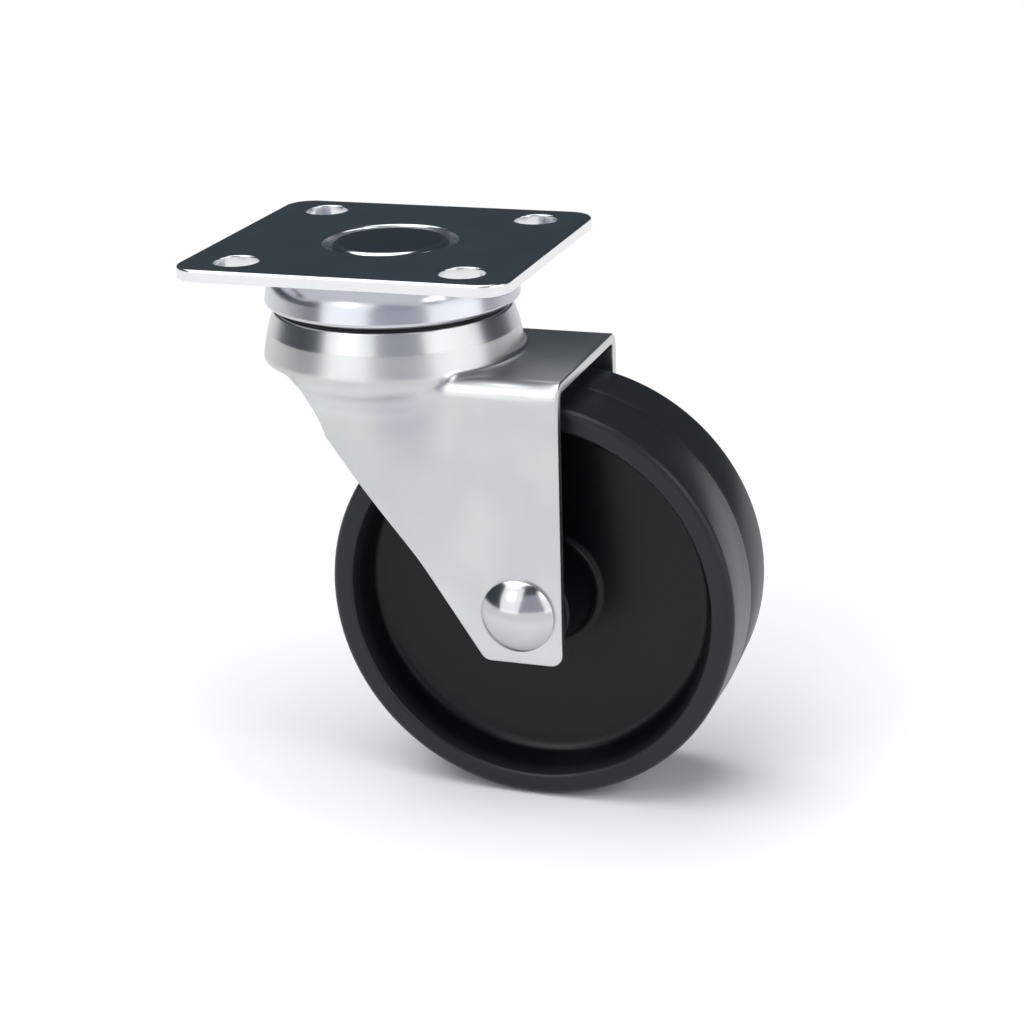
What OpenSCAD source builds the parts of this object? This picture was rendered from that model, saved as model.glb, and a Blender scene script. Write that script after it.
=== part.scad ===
// Light-duty swivel castor with a bolt-down top plate, a double ball race,
// a pressed one-piece fork and a moulded wheel.
// Origin: centre of the plate's top face, on the swivel axis. +Z up, +X along the trail.

/* [Top plate] */
// Length of the plate, along the trail
plate_l = 60; // [56:0.5:70]
// Width of the plate, along the axle
plate_w = 56.5; // [55:0.5:66]
// Thickness of the plate's sheet
plate_t = 2.2; // [1.8:0.1:2.8]
// Radius of the plate's corners
plate_corner_r = 5; // [2:0.5:7]
// Bolt hole spacing along the length
bolt_pitch_l = 41; // [39:0.5:46]
// Bolt hole spacing along the width
bolt_pitch_w = 41; // [39:0.5:45]
// Diameter of the bolt holes
bolt_hole_d = 8; // [6:0.5:9]
// Diameter of the sunk seat for the kingpin's head
seat_d = 24; // [23:0.1:25]
// Depth of that seat
seat_depth = 1.6; // [1.2:0.1:2]
// Rounding of the seat's rim
seat_rim_r = 0.5; // [0.3:0.1:1.2]
// How much wider than the seat the boss under it is, each side
boss_wall = 0.5; // [0.4:0.1:0.6]

/* [Kingpin] */
// Diameter of the kingpin's shank
pin_d = 10; // [8:0.5:11]
// Diameter of its flat head
pin_head_d = 21; // [19:0.5:22]
// Rounding of the head's upper edge
pin_head_round = 1.2; // [0.5:0.1:1.3]
// How far the head lies below the plate's face
pin_head_sink = 0.05; // [0.05:0.05:0.3]
// Diameter of the stepped lower end that carries the lower race
pin_tenon_d = 8; // [6:0.5:9]
// Diameter of the riveted foot under the lower race
pin_foot_d = 13.6; // [11:0.2:15]
// Height of the riveted foot
pin_foot_h = 2; // [1.5:0.1:2.5]

/* [Swivel bearing] */
// Diameter of the bearing balls
ball_d = 5; // [4.4:0.1:5.4]
// Pitch diameter of the upper row of balls
upper_row_d = 34; // [33.6:0.1:34.2]
// Pitch diameter of the lower row of balls
lower_row_d = 23; // [22:0.5:24]
// Number of balls in the upper row
upper_balls = 16; // [10:1:18]
// Number of balls in the lower row
lower_balls = 12; // [8:1:13]
// Depth of the ball grooves
groove_depth = 0.5; // [0.3:0.05:0.6]
// How much wider a groove's radius is than the ball's
groove_ease = 0.06; // [0.04:0.01:0.15]
// Free height between each ball and each groove
ball_play = 0.03; // [0.02:0.01:0.06]
// Widest diameter of the upper race cup
cup_d = 45.8; // [45.4:0.1:46.6]
// Sheet thickness of the upper race cup
cup_t = 1.6; // [1.2:0.1:1.7]
// Height of the cup's skirt below the plate
cup_h = 8; // [7.7:0.1:8.4]
// Lean of the cup's skirt, measured down its height
cup_lean = 1.5; // [1.2:0.1:1.6]
// Outer radius of the cup's shoulder under the plate
cup_shoulder_r = 4.8; // [4:0.1:5]
// Radius of the cup's curled lower edge
cup_curl_r = 1.8; // [1.8:0.1:2.2]
// How far round that edge is curled, in degrees
curl_turn = 55; // [30:1:60]
// Diameter of the lower race
lower_race_d = 29; // [28:0.5:31]
// Thickness of the lower race
lower_race_t = 1.8; // [1.5:0.1:2.2]

/* [Fork] */
// Sheet thickness of the fork
fork_t = 2; // [1.8:0.1:2.2]
// Width over the fork's legs
fork_w = 37; // [36:0.5:39]
// Diameter of the drawn neck under the cup
neck_d = 42.6; // [42.2:0.1:43]
// Diameter of the rounded front skirt
skirt_d = 46.8; // [46.2:0.1:48]
// Depth of the bridge's upper face below the plate's face
bridge_drop = 19.3; // [18.8:0.1:20]
// Height of the skirt's lower edge below the bridge, at the front
skirt_lip = 0.9; // [0.5:0.1:2]
// Outer radius of the bends between the bridge and the legs
bend_r = 3; // [2.5:0.1:4]
// Distance of the legs' front edge ahead of the swivel axis
leg_front = 7.6; // [6:0.1:9]
// Run of the slant from the skirt's edge back to the legs' front edge
slant_l = 5.2; // [4:0.1:7]
// Height of that slant
slant_h = 5; // [4:0.1:6]
// Height of the upright part of the front edge
upright_h = 5; // [4:0.1:7]
// Distance of the front edge's sweep behind the upright part
sweep_l = 17; // [14:0.5:19]
// Height of that sweep above the axle
sweep_h = 9.3; // [8:0.1:12]
// Radius of that sweep
sweep_r = 60; // [30:5:80]
// Distance from the swivel axis to the fork's rear edge
fork_rear = 35.9; // [35.5:0.1:38]
// Height of the legs below the axle
foot_drop = 9.2; // [9:0.1:11]
// Width of the foot in front of the axle
foot_front = 6.4; // [6:0.1:8]
// Radius of the foot's corners
foot_r = 2.2; // [1:0.1:3]
// Bore through the fork's crown for the kingpin
crown_bore_d = 15; // [13:0.5:16]

/* [Axle] */
// Horizontal distance from the swivel axis to the axle
trail = 28; // [27.5:0.1:29]
// Depth of the axle below the plate's face
axle_drop = 61.5; // [61:0.5:66]
// Diameter of the axle rivet's shank
rivet_d = 8; // [6:0.5:9]
// Diameter of its domed head
rivet_head_d = 13.4; // [12:0.2:15]
// Height of its domed head
rivet_head_h = 3.4; // [2.5:0.1:4]
// Diameter of the closed head on the far side
rivet_tail_d = 12; // [10:0.5:14]
// Height of the closed head
rivet_tail_h = 2.2; // [1.5:0.1:3]
// Outer diameter of the spacer sleeve that the wheel turns on
sleeve_d = 12; // [11:0.5:13]
// Radial play of the rivet in the sleeve and the legs
rivet_play = 0.05; // [0.02:0.01:0.1]

/* [Wheel] */
// Diameter of the wheel
wheel_d = 75; // [72:0.5:76]
// Width of the tread
wheel_w = 26.4; // [24:0.2:27.4]
// Fall of the crowned tread from its middle to its shoulders
tread_crown = 0.35; // [0.1:0.05:0.6]
// Rounding of the shoulders
shoulder_r = 1.5; // [0.8:0.1:2.5]
// Radial height of the rim's side face, shoulder included
rim_h = 4.2; // [3.5:0.1:6]
// Depth of the side recess at its outer edge
recess_depth = 7.4; // [6:0.1:9]
// Lean of the recess's outer wall, measured across its depth
recess_lean = 2; // [1:0.1:3]
// Fillet round the bottom of the recess
recess_fillet = 2.2; // [1:0.1:3]
// Fall of the web from the rim to the hub
web_fall = 2.2; // [0:0.1:2.5]
// Diameter of the hub at the web
hub_root_d = 20; // [19:0.5:24]
// Diameter of the hub at its ends
hub_end_d = 17.2; // [16:0.2:18.5]
// Free space between the hub's ends and the legs, each side
hub_play = 0.3; // [0.2:0.05:0.6]
// Radial play of the wheel on the sleeve
wheel_play = 0.05; // [0.03:0.01:0.1]

/* [Hidden] */
$fn = 96;
arc_step = 15;
eps = 0.01;

// Heights down the swivel axis
plate_bottom = -plate_t;
seat_floor = -seat_depth;
boss_bottom = -seat_depth - plate_t;
cup_face = plate_bottom - cup_t;
cup_rim = plate_bottom - cup_h;
upper_ball_z = cup_face + groove_depth - ball_play - ball_d / 2;
crown_top = upper_ball_z - ball_d / 2 - ball_play + groove_depth;
crown_under = crown_top - fork_t;
lower_ball_z = crown_under + groove_depth - ball_play - ball_d / 2;
lower_race_top = lower_ball_z - ball_d / 2 - ball_play + groove_depth;
lower_race_bottom = lower_race_top - lower_race_t;
pin_foot = lower_race_bottom - pin_foot_h;

// Radii of the kingpin's seat and of the boss pressed out under it
seat_r = seat_d / 2;
boss_r = seat_r + boss_wall;
pin_hole_r = pin_d / 2 + 0.05;
tenon_hole_r = pin_tenon_d / 2 + 0.05;
groove_r = ball_d / 2 + groove_ease;

// The fork, its crown and its outline from the side
bridge_z = -bridge_drop;
neck_r = neck_d / 2;
skirt_r = skirt_d / 2;
flare = skirt_r - neck_r;
half_fork = fork_w / 2;
half_gap = half_fork - fork_t;
lip_gap = 0.9;
neck_shoulder = cup_rim - lip_gap;
dome_r = cup_d / 2 - cup_t - 1.1;
bowl_top = bridge_z - 2;
bowl_bottom = bridge_z - 9;
axle_z = -axle_drop;
foot_z = axle_z - foot_drop;
leg_x = -leg_front;

// The points of one rounded corner at b, between its neighbours a and c
function corner(a, b, c, r) =
    let (
        u = (a - b) / norm(a - b),
        v = (c - b) / norm(c - b),
        half = acos(max(-1, min(1, u * v))) / 2,
        centre = b + (u + v) / norm(u + v) * r / sin(half),
        from = b + u * r / tan(half) - centre,
        to = b + v * r / tan(half) - centre,
        start = atan2(from.y, from.x),
        turn = (atan2(to.y, to.x) - start + 540) % 360 - 180,
        steps = max(1, ceil(abs(turn) / arc_step))
    )
    [for (i = [0 : steps]) centre + r * [cos(start + turn * i / steps), sin(start + turn * i / steps)]];

// A closed outline from corners [x, y, radius]
function rounded(corners) =
    let (n = len(corners), p = [for (c = corners) [c[0], c[1]]])
    [for (i = [0 : n - 1])
        for (q = corners[i][2] > 0
            ? corner(p[(i + n - 1) % n], p[i], p[(i + 1) % n], corners[i][2])
            : [p[i]]) q];

// A shape drawn as [distance from the axis, height], turned about the swivel axis
module turned(corners) {
    rotate_extrude() polygon(rounded(corners));
}

// Stands a shape turned about Z on the axle's line, its +Z towards +Y
module on_axle() {
    translate([trail, 0, axle_z]) rotate([-90, 0, 0]) children();
}

// The ring that a ball's groove takes out of a race
module groove(row_d, z) {
    rotate_extrude() translate([row_d / 2, z]) circle(r = groove_r, $fn = 64);
}

module plate_outline() {
    inner_l = plate_l - 2 * plate_corner_r;
    inner_w = plate_w - 2 * plate_corner_r;
    square([plate_l, inner_w], center = true);
    square([inner_l, plate_w], center = true);
    for (x = [-1, 1], y = [-1, 1])
        translate([x * inner_l / 2, y * inner_w / 2]) circle(r = plate_corner_r);
}

// Flat sheet with four bolt holes, its middle pressed down to sink the kingpin's head
module top_plate() {
    color([0.36, 0.39, 0.43]) difference() {
        union() {
            translate([0, 0, plate_bottom]) linear_extrude(plate_t) plate_outline();
            turned([
                [0, plate_bottom + 1, 0],
                [boss_r, plate_bottom + 1, 0],
                [boss_r, boss_bottom, 1],
                [0, boss_bottom, 0]
            ]);
        }
        turned([
            [0, 1, 0],
            [seat_r + seat_rim_r, 1, 0],
            [seat_r + seat_rim_r, 0, 0],
            each [for (a = [arc_step : arc_step : 90])
                [seat_r + seat_rim_r * (1 - sin(a)), -seat_rim_r * (1 - cos(a)), 0]],
            [seat_r, seat_floor, 0],
            [0, seat_floor, 0]
        ]);
        translate([0, 0, boss_bottom - 1]) cylinder(r = pin_hole_r, h = plate_t + seat_depth + 2);
        for (x = [-1, 1], y = [-1, 1])
            translate([x * bolt_pitch_l / 2, y * bolt_pitch_w / 2, plate_bottom - 1])
                cylinder(d = bolt_hole_d, h = plate_t + 2);
    }
}

// Rivet with a broad flat head above, a stepped lower end and a foot riveted over below
module kingpin() {
    head_top = -pin_head_sink;
    color([0.33, 0.35, 0.38]) turned([
        [0, head_top, 0],
        [pin_head_d / 2, head_top, pin_head_round],
        [pin_head_d / 2, seat_floor, 0],
        [pin_d / 2, seat_floor, 0],
        [pin_d / 2, lower_race_top, 0],
        [pin_tenon_d / 2, lower_race_top, 0],
        [pin_tenon_d / 2, lower_race_bottom, 0],
        [pin_foot_d / 2, lower_race_bottom, 0.4],
        [pin_foot_d / 2 - 1.6, pin_foot, 1],
        [0, pin_foot, 0]
    ]);
}

// Pressed cup that hangs under the plate: dished middle, groove for the upper balls, curled skirt
module upper_race_cup() {
    r = cup_d / 2;
    step_r = boss_r + 0.15;
    curl_z = cup_rim + 0.8 * cup_curl_r;
    curl_x = r - cup_curl_r;
    color([0.78, 0.8, 0.84]) difference() {
        union() {
            turned([
                [pin_hole_r, boss_bottom, 0],
                [step_r, boss_bottom, 0],
                [step_r, plate_bottom, 0],
                [r - cup_lean, plate_bottom, cup_shoulder_r],
                [r, curl_z, 0],
                [r - cup_t, curl_z, 0],
                [r - cup_lean - cup_t, cup_face, 1.4],
                [step_r + cup_t, cup_face, 0],
                [step_r + cup_t, boss_bottom - cup_t, 1.2],
                [pin_hole_r, boss_bottom - cup_t, 0]
            ]);
            rotate_extrude() translate([curl_x, curl_z]) intersection() {
                difference() {
                    circle(r = cup_curl_r);
                    circle(r = cup_curl_r - cup_t);
                }
                polygon([[0, 0], [0, eps], [5, eps], [5, -5 * tan(curl_turn)]]);
            }
        }
        groove(upper_row_d, upper_ball_z);
    }
}

// Outer face of the fork's crown: ball flange, step under the cup's rim, neck, skirt and bowl
function crown_outside() = [
    [0, crown_top, 0],
    [dome_r, crown_top, 1],
    [dome_r, neck_shoulder, 0.5],
    [neck_r, neck_shoulder, 0.8],
    [neck_r + 0.6 * flare, bridge_z + 4.2, 3],
    [skirt_r, bridge_z, 3],
    [skirt_r, bowl_top, 4],
    [half_fork - 0.3, bowl_bottom + 1.2, 4],
    [half_fork - 0.3, bowl_bottom, 0],
    [0, bowl_bottom, 0]
];

// Inner face of the crown, one sheet thickness inside
function crown_inside() = [
    [0, crown_under, 0],
    [dome_r - fork_t, crown_under, 0.6],
    [dome_r - fork_t, neck_shoulder - 1.4, 0.8],
    [neck_r - fork_t, neck_shoulder - 2.2, 0.8],
    [neck_r + 0.6 * flare - fork_t, bridge_z + 3.8, 2],
    [skirt_r - fork_t, bridge_z - 0.5, 2],
    [skirt_r - fork_t, bowl_top - 0.5, 3],
    [half_gap - 0.3, bowl_bottom + 0.8, 3],
    [half_gap - 0.3, bowl_bottom - 1, 0],
    [0, bowl_bottom - 1, 0]
];

// Channel with two bends along its top, running along X from x0 to x1
module channel(half, top, r, x0, x1) {
    translate([x0, 0, 0]) rotate([90, 0, 90]) linear_extrude(x1 - x0)
        union() {
            translate([-half, foot_z - 1]) square([2 * half, top - r - foot_z + 1]);
            translate([-half + r, top - r - eps]) square([2 * (half - r), r + eps]);
            for (side = [-1, 1]) translate([side * (half - r), top - r]) circle(r = r);
        }
}

// The fork's outline from the side: short front skirt, swept front edge, rounded foot
module fork_side() {
    skirt_z = bridge_z - skirt_lip;
    toe = trail - foot_front;
    polygon(rounded([
        [-skirt_r - 2, crown_top + 1, 0],
        [-skirt_r - 2, skirt_z, 0],
        [leg_x - slant_l, skirt_z, 3],
        [leg_x, skirt_z - slant_h, 2.5],
        [leg_x + 0.4, skirt_z - slant_h - upright_h, 6],
        [leg_x + sweep_l, axle_z + sweep_h, sweep_r],
        [toe, foot_z, foot_r],
        [fork_rear, foot_z, foot_r],
        [fork_rear, crown_top + 1, 0]
    ]));
}

// One pressed sheet: drawn crown, flat bridge and two bent legs
module fork() {
    color([0.8, 0.81, 0.83]) difference() {
        intersection() {
            union() {
                turned(crown_outside());
                channel(half_fork, bridge_z, bend_r, leg_x - 1.4, fork_rear);
            }
            translate([0, fork_w, 0]) rotate([90, 0, 0]) linear_extrude(2 * fork_w) fork_side();
        }
        turned(crown_inside());
        channel(half_gap, bridge_z - fork_t, bend_r - fork_t, leg_x - 2.4, fork_rear + 1);
        translate([0, 0, crown_under - 1]) cylinder(d = crown_bore_d, h = fork_t + 2);
        groove(upper_row_d, upper_ball_z);
        groove(lower_row_d, lower_ball_z);
        on_axle() translate([0, 0, -fork_w]) cylinder(r = rivet_d / 2 + rivet_play, h = 2 * fork_w);
    }
}

// Grooved washer on the kingpin's lower end, under the lower balls
module lower_race() {
    color([0.55, 0.57, 0.6]) difference() {
        turned([
            [tenon_hole_r, lower_race_top, 0],
            [lower_race_d / 2, lower_race_top, 0.5],
            [lower_race_d / 2, lower_race_bottom, 0.5],
            [tenon_hole_r, lower_race_bottom, 0]
        ]);
        groove(lower_row_d, lower_ball_z);
    }
}

module ball(row_d, z, i, count) {
    color([0.75, 0.76, 0.78]) rotate([0, 0, 360 * (i - 0.5) / count])
        translate([row_d / 2, 0, z]) sphere(d = ball_d, $fn = 64);
}

// Domed head, shank and closed head of the rivet that carries the wheel
module axle_rivet() {
    rim = 0.6;
    head_r = rivet_head_d / 2;
    dome_h = rivet_head_h - rim;
    dome_r = (head_r * head_r + dome_h * dome_h) / (2 * dome_h);
    color([0.86, 0.87, 0.89]) on_axle() {
        translate([0, 0, -half_fork]) cylinder(d = rivet_d, h = fork_w);
        translate([0, 0, -half_fork - rim]) cylinder(r = head_r, h = rim);
        rotate_extrude() intersection() {
            translate([0, dome_r - half_fork - rivet_head_h]) circle(r = dome_r);
            translate([0, -half_fork - rivet_head_h]) square([head_r, dome_h]);
        }
        turned([
            [0, half_fork, 0],
            [rivet_tail_d / 2, half_fork, 0.3],
            [rivet_tail_d / 2 - 0.6, half_fork + rivet_tail_h, 1.2],
            [0, half_fork + rivet_tail_h, 0]
        ]);
    }
}

// Steel tube that keeps the legs apart and is the wheel's journal
module axle_sleeve() {
    color([0.6, 0.62, 0.65]) on_axle() difference() {
        translate([0, 0, -half_gap]) cylinder(d = sleeve_d, h = 2 * half_gap);
        translate([0, 0, -half_gap - 1]) cylinder(r = rivet_d / 2 + rivet_play, h = 2 * half_gap + 2);
    }
}

// One side of the wheel's section, from the bore out to the middle of the tread
function wheel_half() =
    let (
        face = wheel_w / 2,
        r = wheel_d / 2,
        rim_in = r - rim_h,
        web_out = face - recess_depth,
        hub_end = half_gap - hub_play,
        bore_r = sleeve_d / 2 + wheel_play
    )
    [
        [bore_r, 0, 0],
        [bore_r, hub_end, 0],
        [hub_end_d / 2, hub_end, 0.6],
        [hub_root_d / 2, web_out - web_fall, 1.6],
        [rim_in - recess_lean, web_out, recess_fillet],
        [rim_in, face, 0.7],
        [r - tread_crown, face, shoulder_r],
        [r, 0, 0]
    ];

// One moulding: rim with a crowned tread, web recessed on both sides, long hub
module wheel() {
    color([0.09, 0.1, 0.1]) on_axle() {
        turned(wheel_half());
        mirror([0, 0, 1]) turned(wheel_half());
    }
}

top_plate();
kingpin();
upper_race_cup();
fork();
lower_race();
axle_rivet();
axle_sleeve();
wheel();
for (i = [1 : upper_balls])
    ball(upper_row_d, upper_ball_z, i, upper_balls);
for (i = [1 : lower_balls])
    ball(lower_row_d, lower_ball_z, i, lower_balls);
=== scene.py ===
import bmesh
import bpy
import numpy as np
from mathutils import Matrix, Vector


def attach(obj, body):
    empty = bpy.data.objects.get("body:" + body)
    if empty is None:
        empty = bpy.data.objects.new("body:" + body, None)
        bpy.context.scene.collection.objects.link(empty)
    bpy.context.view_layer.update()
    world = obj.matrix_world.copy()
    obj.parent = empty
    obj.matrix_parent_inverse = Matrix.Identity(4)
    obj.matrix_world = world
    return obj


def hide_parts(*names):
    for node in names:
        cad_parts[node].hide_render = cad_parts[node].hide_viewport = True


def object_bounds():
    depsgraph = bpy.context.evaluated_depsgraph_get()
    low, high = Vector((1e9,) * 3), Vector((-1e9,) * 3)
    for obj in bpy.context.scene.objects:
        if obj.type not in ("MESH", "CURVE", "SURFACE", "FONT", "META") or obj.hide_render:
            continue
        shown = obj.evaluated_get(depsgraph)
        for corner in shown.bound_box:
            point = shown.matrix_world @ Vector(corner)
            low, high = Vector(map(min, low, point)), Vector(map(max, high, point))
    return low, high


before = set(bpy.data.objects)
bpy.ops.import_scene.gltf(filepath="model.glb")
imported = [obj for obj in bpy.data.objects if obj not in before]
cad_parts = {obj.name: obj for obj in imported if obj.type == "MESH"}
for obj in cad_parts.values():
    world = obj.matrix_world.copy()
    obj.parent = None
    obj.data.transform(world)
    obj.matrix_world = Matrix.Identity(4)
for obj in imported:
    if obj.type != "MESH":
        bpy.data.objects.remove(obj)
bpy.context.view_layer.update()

# ---------------------------------------------------------------- sizes, in millimetres
MM = 0.001

PLATE_HALF_L, PLATE_HALF_W, PLATE_T, PLATE_CORNER_R = 30.0, 28.25, 2.2, 5.0
BOLT_AT, BOLT_R = 20.5, 4.0
SEAT_R, SEAT_DEPTH, SEAT_RIM_R = 12.0, 1.6, 0.5
BOSS_R, BOSS_BOTTOM, PIN_HOLE_R = 12.5, -3.8, 5.05

PIN_R, PIN_HEAD_R, PIN_HEAD_TOP = 5.0, 10.5, -0.05
PIN_TENON_R, PIN_FOOT_R, PIN_FOOT_H = 4.0, 6.8, 2.0

GROOVE_R = 2.56
UPPER_ROW_R, UPPER_BALL_Z = 17.0, -5.83
LOWER_ROW_R, LOWER_BALL_Z = 11.5, -11.89
LOWER_RACE_TOP, LOWER_RACE_BOTTOM = -13.92, -15.72

CUP_R, CUP_T, CUP_FACE, CUP_RIM = 22.9, 1.6, -3.8, -10.2
CUP_LEAN, CUP_SHOULDER_R, HEM_R = 1.5, 6.2, 0.6

SHEET = 2.0
CROWN_TOP, CROWN_UNDER, CROWN_BORE_R, DOME_R = -7.86, -9.86, 7.5, 20.2
NECK_SHOULDER, NECK_R, SKIRT_R = -11.1, 21.3, 23.4
CREASE = (22.56, -15.1)
BRIDGE_Z, HALF_FORK, BEND_R, FORK_REAR = -19.3, 18.5, 3.0, 35.9
SKIRT_EDGE, FOOT_Z = -20.2, -70.7

AXLE_X, AXLE_Z = 28.0, -61.5
RIVET_R, RIVET_HEAD_R, RIVET_HEAD_H, RIVET_RIM = 4.0, 6.7, 3.4, 0.6
RIVET_TAIL_R, RIVET_TAIL_H, AXLE_HOLE_R = 6.0, 2.2, 4.05

WHEEL_R, WHEEL_HALF_W, TREAD_CROWN, SHOULDER_R = 37.5, 13.2, 0.35, 1.5
RIM_IN_R, WEB_OUT, WEB_FALL, RECESS_LEAN, RECESS_FILLET = 33.3, 5.8, 2.2, 2.0, 2.2
HUB_ROOT_R, HUB_END_R, HUB_END, HUB_BORE_R = 10.0, 8.6, 16.2, 6.05
SEAM_H, SEAM_HALF_W = 0.1, 0.3


# ---------------------------------------------------------------- curves
def rounded(corners, closed=True, step=8.0, guard=0.04):
    """An outline from corners (x, y, radius).

    Each corner becomes an arc that touches both of its sides, cut into steps of a few degrees.
    A guard point lies just outside each end of an arc, so that the flat beside it is shaded flat.
    """
    p = np.array([c[:2] for c in corners], float)
    radius = [c[2] for c in corners]
    count = len(p)
    reach, arcs = [], []
    for i in range(count):
        if radius[i] <= 0 or (not closed and i in (0, count - 1)):
            reach.append(0.0)
            arcs.append(p[i][None, :])
            continue
        u, v = p[i - 1] - p[i], p[(i + 1) % count] - p[i]
        u, v = u / np.linalg.norm(u), v / np.linalg.norm(v)
        half = np.arccos(np.clip(u @ v, -1, 1)) / 2
        reach.append(radius[i] / np.tan(half))
        centre = p[i] + (u + v) / np.linalg.norm(u + v) * radius[i] / np.sin(half)
        start = p[i] + u * reach[i] - centre
        turn = np.pi - 2 * half
        turn *= np.sign(u[1] * v[0] - u[0] * v[1])
        a = np.linspace(0, turn, max(3, int(np.ceil(np.degrees(abs(turn)) / step)) + 1))
        c, s = np.cos(a), np.sin(a)
        arcs.append(centre + np.stack([start[0] * c - start[1] * s, start[0] * s + start[1] * c], -1))
    out = []
    for i in range(count):
        j = (i + 1) % count
        out.append(arcs[i])
        if not closed and j == 0:
            break
        side = arcs[j][0] - arcs[i][-1]
        length = np.linalg.norm(side)
        if length > 4 * guard:
            way = side / length * guard
            if reach[i]:
                out.append((arcs[i][-1] + way)[None, :])
            if reach[j]:
                out.append((arcs[j][0] - way)[None, :])
    return np.vstack(out)


def groove(row_r, ball_z, face_z, side, count=13):
    """The arc of a ball groove's circle that dips past a flat face.

    Side is -1 for a groove below the ball and 1 for one above it.
    """
    half = np.arccos(abs(face_z - ball_z) / GROOVE_R)
    a = np.linspace(-half, half, count)
    return np.stack([row_r + GROOVE_R * np.sin(a), ball_z + side * GROOVE_R * np.cos(a)], -1)


def with_radius(points):
    """The same points as corners of no radius."""
    return [(x, y, 0) for x, y in points]


def filled_in(path, spacing):
    """The same path with points added on its long sides, no further apart than the spacing."""
    out = [path[:1]]
    for a, b in zip(path[:-1], path[1:]):
        n = max(1, int(np.ceil(np.linalg.norm(b - a) / spacing)))
        out.append(a + (b - a) * (np.arange(1, n + 1) / n)[:, None])
    return np.vstack(out)


# ---------------------------------------------------------------- meshes
def quads_of(rows, cols, wrap_rows, wrap_cols):
    """Corners of the quads between neighbouring points of a grid of rows by cols points."""
    r = np.arange(rows if wrap_rows else rows - 1)[:, None]
    c = np.arange(cols if wrap_cols else cols - 1)[None, :]
    r2, c2 = (r + 1) % rows, (c + 1) % cols
    return np.stack([r * cols + c, r * cols + c2, r2 * cols + c2, r2 * cols + c], -1).reshape(-1, 4)


MERGE_M, SPECK_M = 2e-6, 1e-7
SHARP_ANGLE = np.radians(40)


def piece(name, sheets, body, nodes):
    """One object from grids of points: each sheet is (points in mm, wraps along rows, wraps along cols).

    A sheet may add a mask of its points, and quads with all corners in the mask are left open. Points
    that meet are merged, so the sheets close into one skin with its faces outwards.
    """
    points, quads, base = [], [], 0
    for grid, wrap_rows, wrap_cols, *masks in sheets:
        rows, cols = grid.shape[:2]
        points.append(grid.reshape(-1, 3) * MM)
        faces = quads_of(rows, cols, wrap_rows, wrap_cols)
        for mask in masks:
            faces = faces[~mask.ravel()[faces].all(axis=1)]
        quads.append(faces + base)
        base += rows * cols
    points, quads = np.vstack(points), np.vstack(quads)
    mesh = bpy.data.meshes.new(name)
    mesh.vertices.add(len(points))
    mesh.vertices.foreach_set("co", points.astype(np.float32).ravel())
    mesh.loops.add(quads.size)
    mesh.loops.foreach_set("vertex_index", quads.astype(np.int32).ravel())
    mesh.polygons.add(len(quads))
    mesh.polygons.foreach_set("loop_start", np.arange(0, quads.size, 4, dtype=np.int32))
    mesh.update(calc_edges=True)
    bm = bmesh.new()
    bm.from_mesh(mesh)
    bmesh.ops.remove_doubles(bm, verts=bm.verts, dist=MERGE_M)
    bmesh.ops.dissolve_degenerate(bm, edges=bm.edges, dist=SPECK_M)
    bmesh.ops.recalc_face_normals(bm, faces=bm.faces)
    bm.to_mesh(mesh)
    bm.free()
    mesh.polygons.foreach_set("use_smooth", np.ones(len(mesh.polygons), bool))
    mesh.set_sharp_from_angle(angle=SHARP_ANGLE)
    obj = bpy.data.objects.new(name, mesh)
    bpy.context.scene.collection.objects.link(obj)
    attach(obj, body)
    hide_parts(*nodes)
    return obj


def turned(profile, closed=True, count=224):
    """A section of (radius, height) points carried round the swivel axis."""
    a = np.arange(count) / count * 2 * np.pi
    r, z = profile[:, :1], profile[:, 1:]
    grid = np.stack([r * np.cos(a), r * np.sin(a), z + 0 * a], -1)
    return grid, closed, True


def turned_on_axle(profile, closed=True, count=288):
    """A section of (radius, distance along +Y) points carried round the axle."""
    a = np.arange(count) / count * 2 * np.pi
    r, y = profile[:, :1], profile[:, 1:]
    grid = np.stack([AXLE_X + r * np.cos(a), y + 0 * a, AXLE_Z + r * np.sin(a)], -1)
    return grid, closed, True


# ---------------------------------------------------------------- plate
CELL = 14.4  # half of the middle cell's side
CELL_STEPS, MIDDLE_STEPS = 14, 32
PLATE_EDGE_R, HOLE_EDGE_R = 0.45, 0.3
UNDER_EDGE = 0.6  # an edge's rounding under the plate, as a share of the one on top
CORNERS = [(1, 1), (-1, 1), (1, -1), (-1, -1)]
ENDS = [(1, 1), (-1, 1)]
SIDES = [(1, 1), (1, -1)]


def straight(a, b, n):
    """n + 1 points from a to b."""
    return np.array(a) + (np.array(b) - np.array(a)) * np.linspace(0, 1, n + 1)[:, None]


def corner_path(offset):
    """The plate's edge round its (+, +) corner, moved out by an offset, from one cell border to the other."""
    x, y, r = PLATE_HALF_L + offset, PLATE_HALF_W + offset, PLATE_CORNER_R + offset
    a = np.radians(np.linspace(0, 90, 15))
    arc = np.stack([x - r + r * np.cos(a), y - r + r * np.sin(a)], -1)
    return np.vstack([straight((x, CELL), arc[0], 5)[:-1], arc, straight(arc[-1], (CELL, y), 5)[1:]])


def side_paths(offset):
    """The plate's straight edges between the corner cells: one along Y and one along X."""
    x, y = PLATE_HALF_L + offset, PLATE_HALF_W + offset
    return straight((x, -CELL), (x, CELL), MIDDLE_STEPS), straight((-CELL, y), (CELL, y), MIDDLE_STEPS)


def flat(path, z):
    """The points (x, y) of a path at a height z."""
    return np.concatenate([path, np.full(path.shape[:-1] + (1,), float(z))], -1)


def between(inner, outer, z, n=3):
    """A flat sheet between two paths with as many points, n quads wide."""
    t = np.linspace(0, 1, n + 1)[:, None, None]
    return flat(inner * (1 - t) + outer * t, z)


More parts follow.
